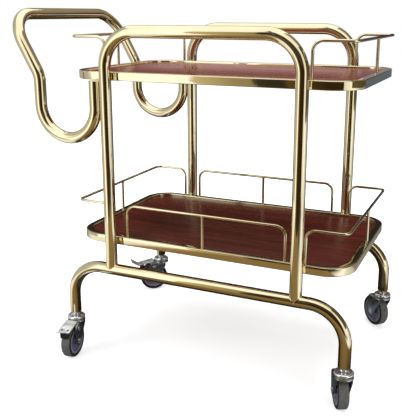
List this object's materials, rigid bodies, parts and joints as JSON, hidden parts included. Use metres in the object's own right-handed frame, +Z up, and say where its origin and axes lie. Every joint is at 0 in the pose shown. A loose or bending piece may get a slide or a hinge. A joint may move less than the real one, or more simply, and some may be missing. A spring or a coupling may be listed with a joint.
{
  "type": "bar cart",
  "caption": "Bar cart with two framed shelves in bent-tube side frames, wire guard rails, a looped push handle and swivel casters, braked at the handle end.",
  "frame": {"origin": "on the floor under the middle of the whole cart's box, handle, brake pedals and casters included", "axes": "+X along the cart away from the push handle, +Y from the front (the pictured long side) to the rear, +Z up"},
  "size_m": [0.7826, 0.5364, 0.7664],
  "materials": {
    "gold_tube": "polished gold plate on steel tube, wire and rim",
    "shelf_board": "gloss lacquered dark mahogany",
    "zinc_plate": "bright zinc plate on steel",
    "fork_steel": "zinc-plated steel pressing",
    "hub_plastic": "dark grey moulded plastic",
    "tyre_rubber": "grey-brown rubber, smooth tread",
    "brake_rubber": "black toothed rubber",
    "socket_plastic": "black moulded plastic"
  },
  "bodies": {
    "root": {"hoop_front": "gold_tube", "hoop_rear": "gold_tube", "base_arch_front": "gold_tube", "base_arch_rear": "gold_tube", "push_handle": "gold_tube", "upper_shelf_rim": "gold_tube", "lower_shelf_rim": "gold_tube", "upper_left_end_rail": "gold_tube", "upper_right_end_rail": "gold_tube", "lower_left_end_rail": "gold_tube", "lower_right_end_rail": "gold_tube", "lower_front_side_rail": "gold_tube", "lower_rear_side_rail": "gold_tube", "upper_shelf_board": "shelf_board", "lower_shelf_board": "shelf_board", "upper_left_front_bolt": "zinc_plate", "upper_left_rear_bolt": "zinc_plate", "upper_right_front_bolt": "zinc_plate", "upper_right_rear_bolt": "zinc_plate", "lower_left_front_bolt": "zinc_plate", "lower_left_rear_bolt": "zinc_plate", "lower_right_front_bolt": "zinc_plate", "lower_right_rear_bolt": "zinc_plate", "front_left_stem_socket": "socket_plastic", "front_left_caster_stem": "zinc_plate", "rear_left_stem_socket": "socket_plastic", "rear_left_caster_stem": "zinc_plate", "front_right_stem_socket": "socket_plastic", "front_right_caster_stem": "zinc_plate", "rear_right_stem_socket": "socket_plastic", "rear_right_caster_stem": "zinc_plate"},
    "front_left_swivel": {"front_left_ball_cage": "zinc_plate", "front_left_fork": "fork_steel", "front_left_axle": "zinc_plate", "front_left_pedal_rivet_a": "zinc_plate", "front_left_pedal_rivet_b": "zinc_plate"},
    "front_left_wheel": {"front_left_hub": "hub_plastic", "front_left_tyre": "tyre_rubber"},
    "front_left_pedal": {"front_left_brake_pedal": "zinc_plate", "front_left_brake_shoe": "brake_rubber"},
    "rear_left_swivel": {"rear_left_ball_cage": "zinc_plate", "rear_left_fork": "fork_steel", "rear_left_axle": "zinc_plate", "rear_left_pedal_rivet_a": "zinc_plate", "rear_left_pedal_rivet_b": "zinc_plate"},
    "rear_left_wheel": {"rear_left_hub": "hub_plastic", "rear_left_tyre": "tyre_rubber"},
    "rear_left_pedal": {"rear_left_brake_pedal": "zinc_plate", "rear_left_brake_shoe": "brake_rubber"},
    "front_right_swivel": {"front_right_ball_cage": "zinc_plate", "front_right_fork": "fork_steel", "front_right_axle": "zinc_plate"},
    "front_right_wheel": {"front_right_hub": "hub_plastic", "front_right_tyre": "tyre_rubber"},
    "rear_right_swivel": {"rear_right_ball_cage": "zinc_plate", "rear_right_fork": "fork_steel", "rear_right_axle": "zinc_plate"},
    "rear_right_wheel": {"rear_right_hub": "hub_plastic", "rear_right_tyre": "tyre_rubber"}
  },
  "joints": [
    {"name": "front_left_swivel_joint", "type": "hinge", "parent": "root", "child": "front_left_swivel", "pos_m": [-0.24374, -0.18289, 0], "axis": [0, 0, 1], "continuous": true},
    {"name": "front_left_wheel_joint", "type": "hinge", "parent": "front_left_swivel", "child": "front_left_wheel", "pos_m": [-0.24068, -0.20468, 0.0375], "axis": [0.9903, 0.1392, 0], "continuous": true},
    {"name": "front_left_pedal_joint", "type": "hinge", "parent": "front_left_swivel", "child": "front_left_pedal", "pos_m": [-0.24068, -0.20468, 0.0675], "axis": [0.9903, 0.1392, 0], "range_deg": [0, 8]},
    {"name": "rear_left_swivel_joint", "type": "hinge", "parent": "root", "child": "rear_left_swivel", "pos_m": [-0.24374, 0.22211, 0], "axis": [0, 0, 1], "continuous": true},
    {"name": "rear_left_wheel_joint", "type": "hinge", "parent": "rear_left_swivel", "child": "rear_left_wheel", "pos_m": [-0.26108, 0.20857, 0.0375], "axis": [0.6157, -0.788, 0], "continuous": true},
    {"name": "rear_left_pedal_joint", "type": "hinge", "parent": "rear_left_swivel", "child": "rear_left_pedal", "pos_m": [-0.26108, 0.20857, 0.0675], "axis": [0.6157, -0.788, 0], "range_deg": [0, 8]},
    {"name": "front_right_swivel_joint", "type": "hinge", "parent": "root", "child": "front_right_swivel", "pos_m": [0.37126, -0.18289, 0], "axis": [0, 0, 1], "continuous": true},
    {"name": "front_right_wheel_joint", "type": "hinge", "parent": "front_right_swivel", "child": "front_right_wheel", "pos_m": [0.36196, -0.16295, 0.0375], "axis": [-0.9063, -0.4226, 0], "continuous": true},
    {"name": "rear_right_swivel_joint", "type": "hinge", "parent": "root", "child": "rear_right_swivel", "pos_m": [0.37126, 0.22211, 0], "axis": [0, 0, 1], "continuous": true},
    {"name": "rear_right_wheel_joint", "type": "hinge", "parent": "rear_right_swivel", "child": "rear_right_wheel", "pos_m": [0.35517, 0.23711, 0.0375], "axis": [-0.682, -0.7314, 0], "continuous": true}
  ]
}
